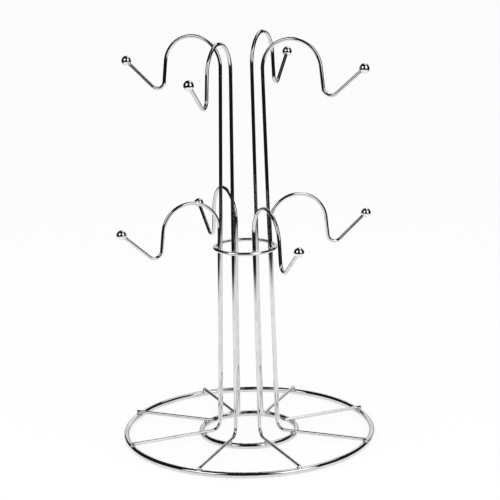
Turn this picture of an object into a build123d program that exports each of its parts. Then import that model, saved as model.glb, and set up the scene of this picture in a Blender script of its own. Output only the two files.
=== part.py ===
"""Mug tree: eight bent wires with ball tips, welded to two base rings and a collar ring.

Millimetres. +Z is up, and the origin is the centre of the base on the table.
Angles round the tree are counter-clockwise from +X, seen from above. The front is at -Y.
"""

from build123d import *

import os
from math import cos, hypot, radians, sin, sqrt, tan

# Round wire
hook_wire_diameter = 3.0
collar_wire_diameter = 3.0
base_wire_diameter = 5.0

# Base rings, lying on the table
outer_ring_diameter = 220.0  # over the outside of its wire
inner_ring_diameter = 88.0  # over the outside of its wire
foot_end_inset = 1.0  # from the rim of the outer ring in to the cut end of a foot

# Feet and uprights
wire_offset = 1.7  # sideways from the tree's axis to the upright plane of each wire
upright_reach = 27.0  # out along a foot, to where the upright's centre line would meet it
upright_lean = 1.35  # degrees, towards the middle of the tree
foot_bend_radius = 8.0

# Collar ring, round the outside of the uprights
collar_height = 168.0

# Hooks: an arch out of the upright, a leg down, a round valley and a rising tip
upper_hook_height = 322.0  # centre of the arch above the table
lower_hook_height = 185.5
arch_radius = 25.0
leg_slant = 6.0  # degrees from plumb, outwards
valley_radius = 6.5
tip_rise = 42.0  # degrees above level
tip_reach = 32.0  # from the valley to the centre of the ball

# Where each tier's feet point, in degrees round the tree, and what differs from hook to hook:
# how far each one is turned sideways out of its wire's plane, and how long its leg is.
upper_first_angle = 67.5
lower_first_angle = 22.5
upper_hook_swings = (0.0, 1.0, 0.0, 5.0)
lower_hook_swings = (-10.0, 0.0, -3.0, 1.0)
upper_leg_lengths = (20.0, 17.5, 19.5, 18.0)
lower_leg_lengths = (16.0, 20.5, 16.0, 18.0)

# Ball tips, each with a blind bore for the wire's end
ball_diameter = 8.4
ball_bore_depth = 4.0

# Welds
weld_set_down = 0.3  # how far two crossing wires are pressed into each other
base_bead_radius = 2.2
collar_bead_radius = 1.7

# Worked out from the above
hook_wire_radius = hook_wire_diameter / 2
collar_wire_radius = collar_wire_diameter / 2
base_wire_radius = base_wire_diameter / 2
ball_radius = ball_diameter / 2
outer_ring_radius = outer_ring_diameter / 2 - base_wire_radius
inner_ring_radius = inner_ring_diameter / 2 - base_wire_radius
foot_height = base_wire_diameter + hook_wire_radius - weld_set_down
foot_reach = outer_ring_diameter / 2 - foot_end_inset
collar_run_in = (collar_height - foot_height) * tan(radians(upright_lean))
collar_seat_radius = hypot(upright_reach - collar_run_in, wire_offset) + hook_wire_radius
collar_radius = collar_seat_radius + collar_wire_radius - weld_set_down
base_weld_height = base_wire_diameter - weld_set_down / 2
collar_weld_radius = collar_seat_radius - weld_set_down / 2


def wire_plane(angle):
    """Upright plane beside the tree's axis: X runs outwards at this angle, Y runs up."""
    outwards = Vector(cos(radians(angle)), sin(radians(angle)), 0)
    side = outwards.cross(Vector(0, 0, 1))
    return Plane(origin=side * wire_offset, x_dir=outwards, z_dir=side)


def hook_plane(upright, plane, swing):
    """The plane of a hook: it holds the upright's line, and is turned about it by the swing."""
    rise = upright % 1
    side = plane.z_dir.rotate(Axis((0, 0, 0), rise), swing)
    return Plane(origin=upright @ 1, x_dir=rise.cross(side), z_dir=side)


def bent_wire(name, angle, hook_height, swing, leg_length):
    """One wire, bent from the cut end of its foot to the end of its hook's tip.

    Returns the wire and the plane of the tip's end, whose normal points out of the wire.
    """
    plane = wire_plane(angle)
    foot_turn = 90 - upright_lean
    bend_start = upright_reach + foot_bend_radius * tan(radians(foot_turn / 2))
    arch_start_height = hook_height - arch_radius * sin(radians(upright_lean))
    tip_length = tip_reach - ball_radius + ball_bore_depth
    with BuildPart() as wire:
        with BuildLine(plane):
            foot = Line((foot_reach, foot_height), (bend_start, foot_height))
            bend = JernArc(foot @ 1, foot % 1, foot_bend_radius, -foot_turn)
            upright_length = (arch_start_height - (bend @ 1).Z) / cos(radians(upright_lean))
            upright = PolarLine(bend @ 1, upright_length, direction=bend % 1)
        with BuildLine(hook_plane(upright, plane, swing)):
            arch = JernArc(upright @ 1, upright % 1, arch_radius, leg_slant - upright_lean - 180)
            leg = PolarLine(arch @ 1, leg_length, direction=arch % 1)
            valley = JernArc(leg @ 1, leg % 1, valley_radius, 90 - leg_slant + tip_rise)
            tip = PolarLine(valley @ 1, tip_length, direction=valley % 1)
        with BuildSketch(Plane(origin=foot @ 0, z_dir=foot % 0)):
            Circle(hook_wire_radius)
        sweep()
    wire.part.label = name
    return wire, Plane(origin=tip @ 1, z_dir=tip % 1)


def tip_ball(name, wire_end):
    """A ball with a blind bore, pushed onto the end of a tip."""
    with BuildPart(wire_end.offset(ball_radius - ball_bore_depth)) as ball:
        Sphere(ball_radius)
        with BuildSketch(wire_end):
            Circle(hook_wire_radius)
        extrude(amount=-ball_diameter, mode=Mode.SUBTRACT)
    ball.part.label = name
    return ball


def wire_ring(name, radius, height, wire_radius, crossing_wires):
    """A closed ring of round wire, with a shallow saddle where each crossing wire is welded on."""
    with BuildPart() as ring:
        with BuildSketch(Plane.YZ):
            with Locations((radius, height)):
                Circle(wire_radius)
        revolve(axis=Axis.Z)
        for wire in crossing_wires:
            add(wire.part, mode=Mode.SUBTRACT)
    ring.part.label = name
    return ring


def weld_beads(name, radius, height, bead_radius, ring, crossing_wires):
    """The small bead of metal squeezed out round each place where a wire crosses a ring.

    crossing_wires maps the angle of each wire's plane to the wire.
    """
    crossing_reach = sqrt(radius**2 - wire_offset**2)
    with BuildPart() as beads:
        for angle in crossing_wires:
            with Locations(wire_plane(angle).from_local_coords((crossing_reach, height))):
                Sphere(bead_radius)
        for piece in (ring, *crossing_wires.values()):
            add(piece.part, mode=Mode.SUBTRACT)
    beads.part.label = name
    return beads


wires = {}
balls = []
tiers = (
    ("upper", upper_first_angle, upper_hook_height, upper_hook_swings, upper_leg_lengths),
    ("lower", lower_first_angle, lower_hook_height, lower_hook_swings, lower_leg_lengths),
)
for tier, first_angle, hook_height, swings, leg_lengths in tiers:
    for index, (swing, leg_length) in enumerate(zip(swings, leg_lengths)):
        angle = first_angle + index * 360 / len(swings)
        wire, wire_end = bent_wire(f"{tier}_wire_{index + 1}", angle, hook_height, swing, leg_length)
        wires[angle] = wire
        balls.append(tip_ball(f"{tier}_ball_{index + 1}", wire_end))

ring_sizes = (
    ("outer_base_ring", outer_ring_radius, base_wire_radius, base_wire_radius),
    ("inner_base_ring", inner_ring_radius, base_wire_radius, base_wire_radius),
    ("collar_ring", collar_radius, collar_height, collar_wire_radius),
)
bead_sizes = (
    ("outer_ring_welds", outer_ring_radius, base_weld_height, base_bead_radius),
    ("inner_ring_welds", inner_ring_radius, base_weld_height, base_bead_radius),
    ("collar_welds", collar_weld_radius, collar_height, collar_bead_radius),
)
rings = [wire_ring(*sizes, wires.values()) for sizes in ring_sizes]
beads = [weld_beads(*sizes, ring, wires) for sizes, ring in zip(bead_sizes, rings)]

os.makedirs("parts", exist_ok=True)
for piece in (*wires.values(), *balls, *rings, *beads):
    export_step(piece.part, f"parts/{piece.part.label}.step")
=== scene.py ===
"""Looks of the chromed wire mug tree: smooth wires, rings, ball tips and weld beads.

Metres. +Z is up, and the origin is the centre of the base on the table. The front is at -Y.
"""

from math import ceil, cos, hypot, pi, radians, sin, sqrt, tan

import bmesh
import bpy
from mathutils import Matrix, Vector, noise


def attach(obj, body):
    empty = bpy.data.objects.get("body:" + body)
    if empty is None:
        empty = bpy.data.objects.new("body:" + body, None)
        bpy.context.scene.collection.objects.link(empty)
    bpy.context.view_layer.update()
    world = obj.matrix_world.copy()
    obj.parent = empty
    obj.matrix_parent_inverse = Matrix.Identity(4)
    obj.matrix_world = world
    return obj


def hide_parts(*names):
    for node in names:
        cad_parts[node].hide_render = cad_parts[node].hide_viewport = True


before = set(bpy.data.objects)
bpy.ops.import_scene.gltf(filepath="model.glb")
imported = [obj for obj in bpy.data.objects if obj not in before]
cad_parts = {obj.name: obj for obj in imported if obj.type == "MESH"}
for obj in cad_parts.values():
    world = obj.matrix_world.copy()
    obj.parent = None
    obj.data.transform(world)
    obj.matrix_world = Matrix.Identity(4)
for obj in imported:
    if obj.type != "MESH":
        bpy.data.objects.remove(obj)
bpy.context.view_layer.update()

# Round wire
HOOK_WIRE_RADIUS = 0.0015
COLLAR_WIRE_RADIUS = 0.0015
BASE_WIRE_RADIUS = 0.0025

# Base rings and feet
OUTER_RING_RADIUS = 0.110 - BASE_WIRE_RADIUS
INNER_RING_RADIUS = 0.044 - BASE_WIRE_RADIUS
FOOT_REACH = 0.109
WELD_SET_DOWN = 0.0003  # how far two crossing wires are pressed into each other
FOOT_HEIGHT = 2 * BASE_WIRE_RADIUS + HOOK_WIRE_RADIUS - WELD_SET_DOWN
FOOT_BEND_RADIUS = 0.008
FOOT_END_EASE = 0.0003  # rounding of the rim where the foot is cut off

# Uprights, each in an upright plane that stands a little beside the tree's axis
WIRE_OFFSET = 0.0017
UPRIGHT_REACH = 0.027
UPRIGHT_LEAN = radians(1.35)
COLLAR_HEIGHT = 0.168
COLLAR_RUN_IN = (COLLAR_HEIGHT - FOOT_HEIGHT) * tan(UPRIGHT_LEAN)
COLLAR_SEAT_RADIUS = hypot(UPRIGHT_REACH - COLLAR_RUN_IN, WIRE_OFFSET) + HOOK_WIRE_RADIUS
COLLAR_RADIUS = COLLAR_SEAT_RADIUS + COLLAR_WIRE_RADIUS - WELD_SET_DOWN

# Hooks: an arch, a leg down, a round valley and a rising tip
ARCH_RADIUS = 0.025
LEG_SLANT = radians(6)
VALLEY_RADIUS = 0.0065
TIP_RISE = radians(42)
TIP_REACH = 0.032

# The two tiers, with the first wire's angle round the tree and each hook's swing in degrees
TIERS = {
    "upper": {
        "first_angle": 67.5, "hook_height": 0.322,
        "swings": (0, 1, 0, 5), "leg_lengths": (0.020, 0.0175, 0.0195, 0.018),
    },
    "lower": {
        "first_angle": 22.5, "hook_height": 0.1855,
        "swings": (-10, 0, -3, 1), "leg_lengths": (0.016, 0.0205, 0.016, 0.018),
    },
}

# Ball tips
BALL_RADIUS = 0.0042
BALL_BORE_DEPTH = 0.004
BORE_RIM_RADIUS = 1.12 * HOOK_WIRE_RADIUS
BORE_RIM_DEPTH = 0.00012

# Weld beads
BASE_BEAD_RADIUS = 0.0022
COLLAR_BEAD_RADIUS = 0.0017
BASE_WELD_HEIGHT = 2 * BASE_WIRE_RADIUS - WELD_SET_DOWN / 2
COLLAR_WELD_RADIUS = COLLAR_SEAT_RADIUS - WELD_SET_DOWN / 2
BASE_BEAD_SQUEEZE = (1, 1, 0.9)
COLLAR_BEAD_SQUEEZE = (0.9, 1, 1)
BEAD_LUMP_SIZE = 0.10  # as a share of the bead's radius
BEAD_LUMPS_PER_METRE = 700
NEXT_BEAD_SHIFT = 7.3  # these two give each bead lumps of its own
NEXT_RING_SHIFT = 100

# Flats that the welding tips leave on the outside of the collar
PRESS_DEPTH = 0.00022
PRESS_TILT = radians(17)  # how far the flats face upwards
PRESS_REACH = 4 * COLLAR_WIRE_RADIUS

# How finely round shapes are cut into faces
WIRE_SIDES = 24
RING_SIDES = 36
RING_STEPS = {"outer_base_ring": 240, "inner_base_ring": 160, "collar_ring": 240}
BEND_STEP = radians(4)
RUN_STEP = 0.006
BALL_SIDES = 48
BALL_BANDS = 32
BEAD_CUTS = 4
CUT_TOLERANCE = 1e-7

# Finishes: the metal's colours and roughness, and how often its patterns repeat and how deep
# they are. A band is the part of a pattern over which its effect comes up.
BRIGHT_CHROME = (0.76, 0.76, 0.77, 1)
CLOUDY_CHROME = (0.65, 0.65, 0.66, 1)
POLISHED_CHROME = (0.87, 0.87, 0.88, 1)
HAZED_CHROME = (0.80, 0.80, 0.81, 1)
BURNT_CHROME = (0.56, 0.55, 0.55, 1)
WIRE_ROUGHNESS = 0.02
BALL_ROUGHNESS = 0.015
HAZE_ROUGHNESS = 0.02  # added where the plate is hazy
WELD_ROUGHNESS = (0.03, 0.15)  # where it is bright, and in its dull spots
CLOUDS_PER_METRE = 90
CLOUD_BAND = (0.35, 0.75)
HAZE_PER_METRE = 240
HAZE_BAND = (0.45, 0.8)
SWELLS_PER_METRE = 60
SWELL_DEPTH = 0.00003
STAINS_PER_METRE = 420
STAIN_BAND = (0.45, 0.75)
DULL_SPOTS_PER_METRE = 700
DULL_BAND = (0.35, 0.75)
SKIN_LUMPS_PER_METRE = 600
SKIN_LUMP_DEPTH = 0.00015
PITS_PER_METRE = 1300
PIT_BAND = (0.0, 0.35)
PIT_DEPTH = 0.00005

UP = Vector((0, 0, 1))


# Materials ------------------------------------------------------------------------------


class Nodes:
    """A node tree under construction: each method adds one kind of node, for its output."""

    def __init__(self, tree):
        self.tree = tree
        self.tree.nodes.clear()

    def add(self, kind, **settings):
        node = self.tree.nodes.new(kind)
        for key, value in settings.items():
            setattr(node, key, value)
        return node

    def link(self, value, socket):
        """Joins an output to a socket, or sets the socket when the value is a plain one."""
        if isinstance(value, bpy.types.NodeSocket):
            self.tree.links.new(value, socket)
        else:
            socket.default_value = value

    def math(self, operation, first, second=0.0):
        node = self.add("ShaderNodeMath", operation=operation)
        self.link(first, node.inputs[0])
        self.link(second, node.inputs[1])
        return node.outputs["Value"]

    def blended(self, amount, first, second):
        """Mixes two shaders."""
        node = self.add("ShaderNodeMixShader")
        for value, socket in zip((amount, first, second), node.inputs):
            self.link(value, socket)
        return node.outputs["Shader"]


class Finish(Nodes):
    """A material under construction."""

    def __init__(self, name):
        self.material = bpy.data.materials.new(name)
        self.material.use_nodes = True
        super().__init__(self.material.node_tree)

    def place(self, attribute=None):
        """Place on the object, or the place that its mesh keeps under a name."""
        if attribute:
            return self.add("ShaderNodeAttribute", attribute_name=attribute).outputs["Vector"]
        return self.add("ShaderNodeTexCoord").outputs["Object"]

    def noise(self, vector, scale, detail, roughness=0.5):
        node = self.add("ShaderNodeTexNoise")
        self.link(vector, node.inputs["Vector"])
        node.inputs["Scale"].default_value = scale
        node.inputs["Detail"].default_value = detail
        node.inputs["Roughness"].default_value = roughness
        return node.outputs["Fac"]

    def pits(self, vector, scale):
        node = self.add("ShaderNodeTexVoronoi")
        self.link(vector, node.inputs["Vector"])
        node.inputs["Scale"].default_value = scale
        return node.outputs["Distance"]

    def ramp(self, value, band, start=0.0, end=1.0):
        """Goes smoothly from start to end while the value goes through the band."""
        node = self.add("ShaderNodeMapRange", interpolation_type="SMOOTHSTEP")
        self.link(value, node.inputs["Value"])
        node.inputs["From Min"].default_value, node.inputs["From Max"].default_value = band
        node.inputs["To Min"].default_value = start
        node.inputs["To Max"].default_value = end
        return node.outputs["Result"]

    def mixed(self, amount, first, second):
        """Mixes two colours, by the node's colour sockets."""
        node = self.add("ShaderNodeMix", data_type="RGBA")
        self.link(amount, node.inputs["Factor"])
        self.link(first, node.inputs[6])
        self.link(second, node.inputs[7])
        return node.outputs[2]

    def bump(self, height, depth, under=None):
        node = self.add("ShaderNodeBump")
        node.inputs["Distance"].default_value = depth
        self.link(height, node.inputs["Height"])
        if under is not None:
            self.link(under, node.inputs["Normal"])
        return node.outputs["Normal"]

    def metal(self, colour, roughness, normal):
        shader = self.add("ShaderNodeBsdfPrincipled")
        shader.inputs["Metallic"].default_value = 1.0
        self.link(colour, shader.inputs["Base Color"])
        self.link(roughness, shader.inputs["Roughness"])
        self.link(normal, shader.inputs["Normal"])
        return shader.outputs["BSDF"]

    def glow(self, colour, strength=1.0):
        shader = self.add("ShaderNodeEmission")
        self.link(colour, shader.inputs["Color"])
        shader.inputs["Strength"].default_value = strength
        return shader.outputs["Emission"]

    def done(self, shader):
        output = self.add("ShaderNodeOutputMaterial")
        self.link(shader, output.inputs["Surface"])
        return self.material


def plated(name, skin, bright, cloudy, roughness):
    """Chrome plate: a faint cloudiness, patches of haze and a gentle swell under the plate."""
    finish = Finish(name)
    place = finish.place(skin)
    clouds = finish.noise(place, CLOUDS_PER_METRE, detail=3)
    colour = finish.mixed(finish.ramp(clouds, CLOUD_BAND), bright, cloudy)
    patches = finish.noise(place, HAZE_PER_METRE, detail=4, roughness=0.6)
    haze = finish.ramp(patches, HAZE_BAND, roughness, roughness + HAZE_ROUGHNESS)
    swell = finish.bump(finish.noise(place, SWELLS_PER_METRE, detail=1), SWELL_DEPTH)
    return finish.done(finish.metal(colour, haze, swell))


def weld_metal(name):
    """Plated weld metal: chrome over a lumpy skin, with dull spots, dark stain and pits."""
    finish = Finish(name)
    place = finish.place()
    stain = finish.noise(place, STAINS_PER_METRE, detail=4, roughness=0.6)
    colour = finish.mixed(finish.ramp(stain, STAIN_BAND), BRIGHT_CHROME, BURNT_CHROME)
    spots = finish.noise(place, DULL_SPOTS_PER_METRE, detail=3)
    roughness = finish.ramp(spots, DULL_BAND, *WELD_ROUGHNESS)
    lumps = finish.bump(finish.noise(place, SKIN_LUMPS_PER_METRE, detail=2), SKIN_LUMP_DEPTH)
    pits = finish.ramp(finish.pits(place, PITS_PER_METRE), PIT_BAND)
    skin = finish.bump(pits, PIT_DEPTH, under=lumps)
    return finish.done(finish.metal(colour, roughness, skin))


FINISHES = {
    "chrome_wire": plated(
        "chrome_wire", "unbent", BRIGHT_CHROME, CLOUDY_CHROME, WIRE_ROUGHNESS
    ),
    "chrome_ring": plated(
        "chrome_ring", None, BRIGHT_CHROME, CLOUDY_CHROME, WIRE_ROUGHNESS
    ),
    "chrome_ball": plated(
        "chrome_ball", None, POLISHED_CHROME, HAZED_CHROME, BALL_ROUGHNESS
    ),
    "weld_bead": weld_metal("weld_bead"),
}


# Shaping --------------------------------------------------------------------------------


def edges_at(verts):
    return list({edge for vert in verts for edge in vert.link_edges})


def extruded(mesh, rim):
    """Extrudes a rim of edges without moving it. Returns the new vertices and the new rim."""
    grown = bmesh.ops.extrude_edge_only(mesh, edges=rim)["geom"]
    verts = {item for item in grown if isinstance(item, bmesh.types.BMVert)}
    edges = [item for item in grown if isinstance(item, bmesh.types.BMEdge)]
    return list(verts), [edge for edge in edges if verts.issuperset(edge.verts)]


def turned_to(place, direction):
    """Placement that stands at a place, with its Z axis in a direction."""
    turn = direction.to_track_quat("Z", "Y").to_matrix().to_4x4()
    return Matrix.Translation(place) @ turn


def crossing(radius, height, angle):
    """Placement where the wire at an angle crosses a ring, with X outwards along the wire."""
    reach = sqrt(radius ** 2 - WIRE_OFFSET ** 2)
    place = Matrix.Translation((reach, -WIRE_OFFSET, height))
    return Matrix.Rotation(angle, 4, "Z") @ place


class WireBender:
    """Forms one wire as a bending machine does: feeds straight runs, bends, and turns it over.

    It also keeps each vertex's place on the wire before it was bent, so that the cloudiness
    of the plate follows the wire round its bends.
    """

    def __init__(self, start, heading, side, radius):
        self.mesh = bmesh.new()
        self.unbent = self.mesh.verts.layers.float_vector.new("unbent")
        self.place = start
        self.heading = heading
        self.side = side
        across = Matrix((side, heading.cross(side), heading)).transposed().to_4x4()
        across.translation = start
        end = bmesh.ops.create_circle(
            self.mesh, cap_ends=True, segments=WIRE_SIDES, radius=radius, matrix=across
        )["verts"]
        for vert in end:
            vert[self.unbent] = across.inverted() @ vert.co
        self.start_rim = edges_at(end)
        self.front = self.start_rim

    def grow(self, length, move):
        """Adds one short piece of wire: the front rim is extruded and moved."""
        verts, self.front = extruded(self.mesh, self.front)
        bmesh.ops.transform(self.mesh, matrix=move, verts=verts)
        for vert in verts:
            vert[self.unbent] = vert[self.unbent] + length * UP
        self.place = move @ self.place

    def feed(self, length):
        steps = ceil(length / RUN_STEP)
        for _ in range(steps):
            self.grow(length / steps, Matrix.Translation(self.heading * length / steps))

    def bend(self, radius, angle):
        """Bends counter-clockwise about the side direction, or clockwise if negative."""
        steps = ceil(abs(angle) / BEND_STEP)
        centre = self.place + self.side.cross(self.heading) * (radius if angle > 0 else -radius)
        turn = Matrix.Rotation(angle / steps, 4, self.side)
        move = Matrix.Translation(centre) @ turn @ Matrix.Translation(-centre)
        for _ in range(steps):
            self.grow(radius * abs(angle) / steps, move)
        self.heading = Matrix.Rotation(angle, 3, self.side) @ self.heading

    def turn_over(self, angle):
        self.side = Matrix.Rotation(angle, 3, self.heading) @ self.side

    def cut_off(self, ease):
        """Closes the front end, and rounds the rim of the start end a little."""
        bmesh.ops.contextual_create(self.mesh, geom=self.front)
        bmesh.ops.bevel(
            self.mesh, geom=self.start_rim, offset=ease, segments=3,
            profile=0.5, affect="EDGES", material=-1,
        )
        return self.mesh


def finished_piece(name, mesh, finish, node):
    """Makes the shaped mesh a piece that stands for its CAD node and has the named finish."""
    bmesh.ops.recalc_face_normals(mesh, faces=mesh.faces)
    for face in mesh.faces:
        face.smooth = len(face.verts) <= 4
    data = bpy.data.meshes.new(name)
    mesh.to_mesh(data)
    mesh.free()
    data.materials.append(FINISHES[finish])
    piece = bpy.data.objects.new(name, data)
    bpy.context.scene.collection.objects.link(piece)
    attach(piece, "root")
    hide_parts(node)


def bent_wire(node, angle, hook_height, swing, leg_length):
    """One wire, from its foot's cut end to its tip's end. Returns the tip's end and heading."""
    outwards = Vector((cos(angle), sin(angle), 0))
    side = outwards.cross(UP)
    wire = WireBender(
        start=FOOT_REACH * outwards + WIRE_OFFSET * side + FOOT_HEIGHT * UP,
        heading=-outwards,
        side=side,
        radius=HOOK_WIRE_RADIUS,
    )
    foot_turn = pi / 2 - UPRIGHT_LEAN
    bend_start = UPRIGHT_REACH + FOOT_BEND_RADIUS * tan(foot_turn / 2)
    arch_start_height = hook_height - ARCH_RADIUS * sin(UPRIGHT_LEAN)
    wire.feed(FOOT_REACH - bend_start)
    wire.bend(FOOT_BEND_RADIUS, -foot_turn)
    wire.feed((arch_start_height - wire.place.z) / cos(UPRIGHT_LEAN))
    wire.turn_over(swing)
    wire.bend(ARCH_RADIUS, LEG_SLANT - UPRIGHT_LEAN - pi)
    wire.feed(leg_length)
    wire.bend(VALLEY_RADIUS, pi / 2 - LEG_SLANT + TIP_RISE)
    wire.feed(TIP_REACH - BALL_RADIUS + BALL_BORE_DEPTH)
    finished_piece(f"{node}_smooth", wire.cut_off(FOOT_END_EASE), "chrome_wire", node)
    return wire.place, wire.heading


def tip_ball(node, wire_end, heading):
    """A turned ball, with its bore's rim eased where the wire goes in."""
    mesh = bmesh.new()
    bmesh.ops.create_uvsphere(
        mesh, u_segments=BALL_SIDES, v_segments=BALL_BANDS, radius=BALL_RADIUS
    )
    rim_height = -sqrt(BALL_RADIUS ** 2 - BORE_RIM_RADIUS ** 2)
    cut = bmesh.ops.bisect_plane(
        mesh, geom=[*mesh.verts, *mesh.edges, *mesh.faces], dist=CUT_TOLERANCE,
        plane_co=(0, 0, rim_height), plane_no=(0, 0, -1), clear_outer=True,
    )["geom_cut"]
    rim = [item for item in cut if isinstance(item, bmesh.types.BMEdge)]
    bore_depth = BALL_BORE_DEPTH - (BALL_RADIUS + rim_height)
    bore_share = HOOK_WIRE_RADIUS / BORE_RIM_RADIUS
    for depth, shrink in ((BORE_RIM_DEPTH, bore_share), (bore_depth, 1.0)):
        verts, rim = extruded(mesh, rim)
        bmesh.ops.scale(mesh, vec=(shrink, shrink, 1), verts=verts)
        bmesh.ops.translate(mesh, vec=(0, 0, depth), verts=verts)
    bmesh.ops.contextual_create(mesh, geom=rim)
    centre = wire_end + heading * (BALL_RADIUS - BALL_BORE_DEPTH)
    bmesh.ops.transform(mesh, matrix=turned_to(centre, heading), verts=mesh.verts)
    finished_piece(f"{node}_turned", mesh, "chrome_ball", node)


def press_flats(mesh, angles):
    """Flattens the collar's outside a little at each crossing, as the welding tips do."""
    for angle in angles:
        place = crossing(COLLAR_RADIUS, COLLAR_HEIGHT, angle).translation
        outwards = Vector((place.x, place.y, COLLAR_RADIUS * tan(PRESS_TILT))).normalized()
        for vert in mesh.verts:
            from_place = vert.co - place
            proud = from_place.dot(outwards) - (COLLAR_WIRE_RADIUS - PRESS_DEPTH)
            if proud > 0 and from_place.length < PRESS_REACH:
                vert.co -= outwards * proud


def wire_ring(node, radius, height, wire_radius, pressed=()):
    """A ring of round wire, spun from its section. The collar is pressed at its crossings."""
    mesh = bmesh.new()
    upright = Matrix.Translation((radius, 0, height)) @ Matrix.Rotation(pi / 2, 4, "X")
    section = bmesh.ops.create_circle(
        mesh, segments=RING_SIDES, radius=wire_radius, matrix=upright
    )["verts"]
    bmesh.ops.spin(
        mesh, geom=[*section, *edges_at(section)], cent=(0, 0, 0), axis=UP, angle=2 * pi,
        steps=RING_STEPS[node], use_merge=True,
    )
    press_flats(mesh, pressed)
    finished_piece(f"{node}_smooth", mesh, "chrome_ring", node)


def weld_beads(node, radius, height, bead_radius, squeeze, angles):
    """A lumpy bead at each crossing, squeezed in the direction in which it was pressed."""
    mesh = bmesh.new()
    for number, angle in enumerate(angles):
        bead = bmesh.ops.create_icosphere(
            mesh, subdivisions=BEAD_CUTS, radius=bead_radius
        )["verts"]
        shift = Vector((number * NEXT_BEAD_SHIFT, 0, radius * NEXT_RING_SHIFT))
        for vert in bead:
            lump = noise.noise(vert.co * BEAD_LUMPS_PER_METRE + shift)
            vert.co *= 1 + BEAD_LUMP_SIZE * lump
        bmesh.ops.scale(mesh, vec=squeeze, verts=bead)
        bmesh.ops.transform(mesh, matrix=crossing(radius, height, angle), verts=bead)
    finished_piece(f"{node}_lumps", mesh, "weld_bead", node)


def make_wires_and_balls():
    """Returns the angle of each wire's plane round the tree."""
    wire_angles = []
    for tier, sizes in TIERS.items():
        hooks = zip(sizes["swings"], sizes["leg_lengths"])
        for index, (swing, leg_length) in enumerate(hooks):
            angle = radians(sizes["first_angle"] + index * 360 / len(sizes["swings"]))
            end, heading = bent_wire(
                f"{tier}_wire_{index + 1}", angle, sizes["hook_height"],
                radians(swing), leg_length,
            )
            tip_ball(f"{tier}_ball_{index + 1}", end, heading)
            wire_angles.append(angle)
    return wire_angles


def make_rings_and_welds(wire_angles):
    """The base rings lie on the table, so their height is their wire's radius."""
    base_rings = (("outer", OUTER_RING_RADIUS), ("inner", INNER_RING_RADIUS))
    for name, radius in base_rings:
        wire_ring(f"{name}_base_ring", radius, BASE_WIRE_RADIUS, BASE_WIRE_RADIUS)
    wire_ring("collar_ring", COLLAR_RADIUS, COLLAR_HEIGHT, COLLAR_WIRE_RADIUS, wire_angles)
    for name, radius in base_rings:
        weld_beads(
            f"{name}_ring_welds", radius, BASE_WELD_HEIGHT,
            BASE_BEAD_RADIUS, BASE_BEAD_SQUEEZE, wire_angles,
        )
    weld_beads(
        "collar_welds", COLLAR_WELD_RADIUS, COLLAR_HEIGHT,
        COLLAR_BEAD_RADIUS, COLLAR_BEAD_SQUEEZE, wire_angles,
    )


# Stage ----------------------------------------------------------------------------------

WHITE = (1, 1, 1, 1)
ROUND_SIDES = 96

# White table: these shares of it are plain white, and the rest is its own shade
TABLE_RADIUS = 6.0
TABLE_COLOUR = (0.92, 0.92, 0.92, 1)
WHITE_TO_CAMERA = 0.85
WHITE_IN_METAL = 0.6

# Past the white, the metal mirrors dark cloth on the table, in a dark room
WHITE_REACH = 0.48
DARK_REACH = 0.69
WHITE_MIDDLE = Vector((0.03, -0.01, 0))
CLOTH_HEIGHT = 0.002
# the cloth's painted light, next to the white of the table
CLOTH_PAINTED_LIGHT = (0.95, 0.95, 0.95, 1)
ROOM_RADIUS = 1.8
ROOM_DEPTH = 0.01  # how far the room goes down past the table's top
ROOM_BLACK = (0.010, 0.010, 0.013, 1)
ROOM_BLUE = (0.012, 0.011, 0.018, 1)
ROOM_PATCHES_PER_METRE = 2

# Lamps and cards face this point. Their azimuths go clockwise from the front, in degrees.
TREE_MIDDLE = Vector((0, 0, 0.2))

# Lamps: name and azimuth
LAMPS = (
    ("left_lamp", -50),
    ("right_lamp", 45),
)
LAMP_DISTANCE = 1.2
LAMP_ELEVATION = radians(30)
LAMP_WIDTH = 0.75
LAMP_HEIGHT = 0.95
LAMP_RADIANCE = 1.6
WORLD_RADIANCE = 0.85

# Cards are painted light: glowing cards seen only in the metal, standing for softboxes
# Cards: name, azimuth, elevation, half width and half height in degrees, and radiance
CARDS = (
    ("left_card", -47, 31, 17, 20, 1.5),
    ("right_card", 43, 27, 18, 25, 1.6),
    ("side_card", 61, 60, 10, 14, 0.3),
    ("far_side_card", 102, 59, 8, 6, 1.3),
    ("overhead_card", 148, 57, 12, 16, 1.6),
    ("back_card", 171, 15, 17, 16, 1.0),
    ("low_back_card", 172, 10, 37, 11, 0.8),
)
CARD_DISTANCE = 1.25
CARD_EVEN_SHARE = 0.85  # of its half width and half height, before it fades out

CAMERA_DISTANCE = 1.3843
CAMERA_HEIGHT = 0.5167
CAMERA_AZIMUTH = radians(-0.602)
CAMERA_HEADING = radians(-0.770)
CAMERA_PITCH = radians(14.253)
CAMERA_ROLL = radians(-1.229)
CAMERA_LENS = 120.173
CAMERA_SENSOR = 36


def stage_object(name, mesh, material):
    data = bpy.data.meshes.new(name)
    mesh.to_mesh(data)
    mesh.free()
    data.materials.append(material)
    thing = bpy.data.objects.new(name, data)
    bpy.context.scene.collection.objects.link(thing)
    return thing


def seen_in_metal_only(thing):
    thing.visible_camera = False
    thing.visible_diffuse = False
    thing.visible_transmission = False
    thing.visible_volume_scatter = False
    thing.visible_shadow = False


def facing_tree(azimuth, elevation, distance):
    """Placement whose -Z axis points at the middle of the tree."""
    level = cos(elevation)
    out = Vector((sin(azimuth) * level, -cos(azimuth) * level, sin(elevation)))
    return turned_to(TREE_MIDDLE + out * distance, out)


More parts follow.
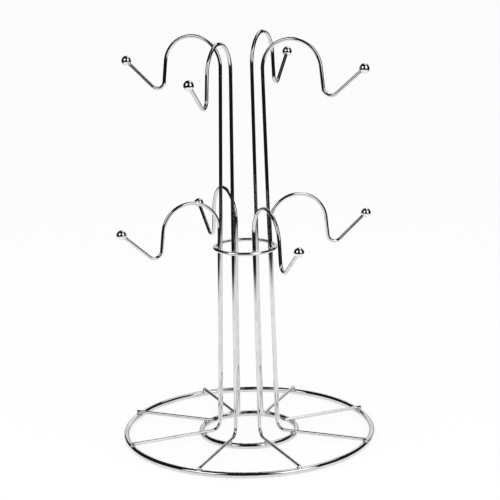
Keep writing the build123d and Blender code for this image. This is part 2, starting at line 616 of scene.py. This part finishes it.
def make_table():
    """Mostly plain white to the camera and in the metal, and it keeps the tree's shadow."""
    finish = Finish("white_table")
    path = finish.add("ShaderNodeLightPath").outputs
    seen = finish.math("MAXIMUM", path["Is Camera Ray"], path["Is Transmission Ray"])
    seen_white = finish.math("MULTIPLY", seen, WHITE_TO_CAMERA)
    mirrored_white = finish.math("MULTIPLY", path["Is Glossy Ray"], WHITE_IN_METAL)
    white = finish.math("MAXIMUM", seen_white, mirrored_white)
    shade = finish.add("ShaderNodeBsdfDiffuse")
    shade.inputs["Color"].default_value = TABLE_COLOUR
    shader = finish.blended(white, shade.outputs["BSDF"], finish.glow(WHITE))
    mesh = bmesh.new()
    bmesh.ops.create_circle(mesh, cap_ends=True, segments=ROUND_SIDES, radius=TABLE_RADIUS)
    stage_object("table", mesh, finish.done(shader))


def lay_cloth():
    """Dark cloth round the white table: painted light glows near the white, and fades to black.
    """
    finish = Finish("dark_cloth")
    from_middle = finish.add("ShaderNodeMapping")
    finish.link(finish.place(), from_middle.inputs["Vector"])
    from_middle.inputs["Location"].default_value = -WHITE_MIDDLE
    from_middle.inputs["Scale"].default_value = (1, 1, 0)
    reach = finish.add("ShaderNodeVectorMath", operation="LENGTH")
    finish.link(from_middle.outputs["Vector"], reach.inputs[0])
    # painted light: the cloth glows pale near the white, fading to black further out
    light = finish.ramp(reach.outputs["Value"], (WHITE_REACH, DARK_REACH), 1.0, 0.0)
    shader = finish.glow(finish.mixed(light, ROOM_BLACK, CLOTH_PAINTED_LIGHT))
    mesh = bmesh.new()
    inner = bmesh.ops.create_circle(
        mesh, segments=ROUND_SIDES, radius=WHITE_REACH - WHITE_MIDDLE.length,
        matrix=Matrix.Translation(CLOTH_HEIGHT * UP),
    )["verts"]
    rim = edges_at(inner)
    for wider in (DARK_REACH, ROOM_RADIUS):
        verts, rim = extruded(mesh, rim)
        spread = wider / max(vert.co.xy.length for vert in verts)
        bmesh.ops.scale(mesh, vec=(spread, spread, 1), verts=verts)
    seen_in_metal_only(stage_object("dark_cloth", mesh, finish.done(shader)))


def make_dark_room():
    """The unlit room above the cloth."""
    finish = Finish("dark_room")
    patches = finish.noise(finish.place(), ROOM_PATCHES_PER_METRE, detail=2)
    shader = finish.glow(finish.mixed(patches, ROOM_BLACK, ROOM_BLUE))
    mesh = bmesh.new()
    bmesh.ops.create_uvsphere(
        mesh, u_segments=ROUND_SIDES, v_segments=ROUND_SIDES // 2, radius=ROOM_RADIUS
    )
    under_table = [vert for vert in mesh.verts if vert.co.z < -ROOM_DEPTH]
    bmesh.ops.delete(mesh, geom=under_table, context="VERTS")
    seen_in_metal_only(stage_object("dark_room", mesh, finish.done(shader)))


def make_world():
    """Plain white to the camera and in the metal, and an even light on the table."""
    world = bpy.data.worlds.new("white_room")
    world.use_nodes = True
    nodes = Nodes(world.node_tree)
    path = nodes.add("ShaderNodeLightPath").outputs
    seen = nodes.math("MAXIMUM", path["Is Camera Ray"], path["Is Glossy Ray"])
    seen = nodes.math("MAXIMUM", seen, path["Is Transmission Ray"])
    walls = []
    for radiance in (WORLD_RADIANCE, 1.0):
        wall = nodes.add("ShaderNodeBackground")
        wall.inputs["Color"].default_value = WHITE
        wall.inputs["Strength"].default_value = radiance
        walls.append(wall.outputs["Background"])
    output = nodes.add("ShaderNodeOutputWorld")
    nodes.link(nodes.blended(seen, *walls), output.inputs["Surface"])
    bpy.context.scene.world = world


def lamp(name, azimuth):
    """A soft lamp that lights the table. The metal mirrors the glowing cards instead, as
    painted light.
    """
    light = bpy.data.lights.new(name, "AREA")
    light.shape = "RECTANGLE"
    light.size = LAMP_WIDTH
    light.size_y = LAMP_HEIGHT
    light.energy = LAMP_RADIANCE * pi * LAMP_WIDTH * LAMP_HEIGHT
    thing = bpy.data.objects.new(name, light)
    thing.matrix_world = facing_tree(azimuth, LAMP_ELEVATION, LAMP_DISTANCE)
    thing.visible_camera = False
    thing.visible_glossy = False
    bpy.context.scene.collection.objects.link(thing)


def glowing_card(name, azimuth, elevation, half_width, half_height, radiance):
    """White card that the metal mirrors: a painted glow, even, that fades out at its edges."""
    width = CARD_DISTANCE * tan(half_width)
    height = CARD_DISTANCE * tan(half_height)
    finish = Finish(name)
    place = finish.add("ShaderNodeSeparateXYZ")
    finish.link(finish.place(), place.inputs[0])
    glowing_share = []
    for axis, half in (("X", width), ("Y", height)):
        from_middle = finish.math("ABSOLUTE", place.outputs[axis])
        glowing_share.append(finish.ramp(from_middle, (CARD_EVEN_SHARE * half, half), 1.0, 0.0))
    clear = finish.add("ShaderNodeBsdfTransparent").outputs["BSDF"]
    # painted light: the card's glow, which the metal mirrors as a highlight
    glow = finish.glow(WHITE, radiance)
    shader = finish.blended(finish.math("MULTIPLY", *glowing_share), clear, glow)
    mesh = bmesh.new()
    bmesh.ops.create_grid(mesh, x_segments=1, y_segments=1, size=1)
    bmesh.ops.scale(mesh, vec=(width, height, 1), verts=mesh.verts)
    card = stage_object(name, mesh, finish.done(shader))
    card.matrix_world = facing_tree(azimuth, elevation, CARD_DISTANCE)
    seen_in_metal_only(card)


def make_camera():
    lens = bpy.data.cameras.new("camera")
    lens.lens = CAMERA_LENS
    lens.sensor_width = CAMERA_SENSOR
    camera = bpy.data.objects.new("camera", lens)
    stand = Vector((
        CAMERA_DISTANCE * sin(CAMERA_AZIMUTH),
        -CAMERA_DISTANCE * cos(CAMERA_AZIMUTH),
        CAMERA_HEIGHT,
    ))
    camera.matrix_world = (
        Matrix.Translation(stand)
        @ Matrix.Rotation(CAMERA_HEADING, 4, "Z")
        @ Matrix.Rotation(pi / 2 - CAMERA_PITCH, 4, "X")
        @ Matrix.Rotation(CAMERA_ROLL, 4, "Z")
    )
    bpy.context.scene.collection.objects.link(camera)
    bpy.context.scene.camera = camera


make_rings_and_welds(make_wires_and_balls())
make_table()
lay_cloth()
make_dark_room()
make_world()
for name, azimuth in LAMPS:
    lamp(name, radians(azimuth))
for name, *angles, radiance in CARDS:
    glowing_card(name, *(radians(angle) for angle in angles), radiance)
make_camera()
bpy.context.scene.view_settings.view_transform = "Standard"
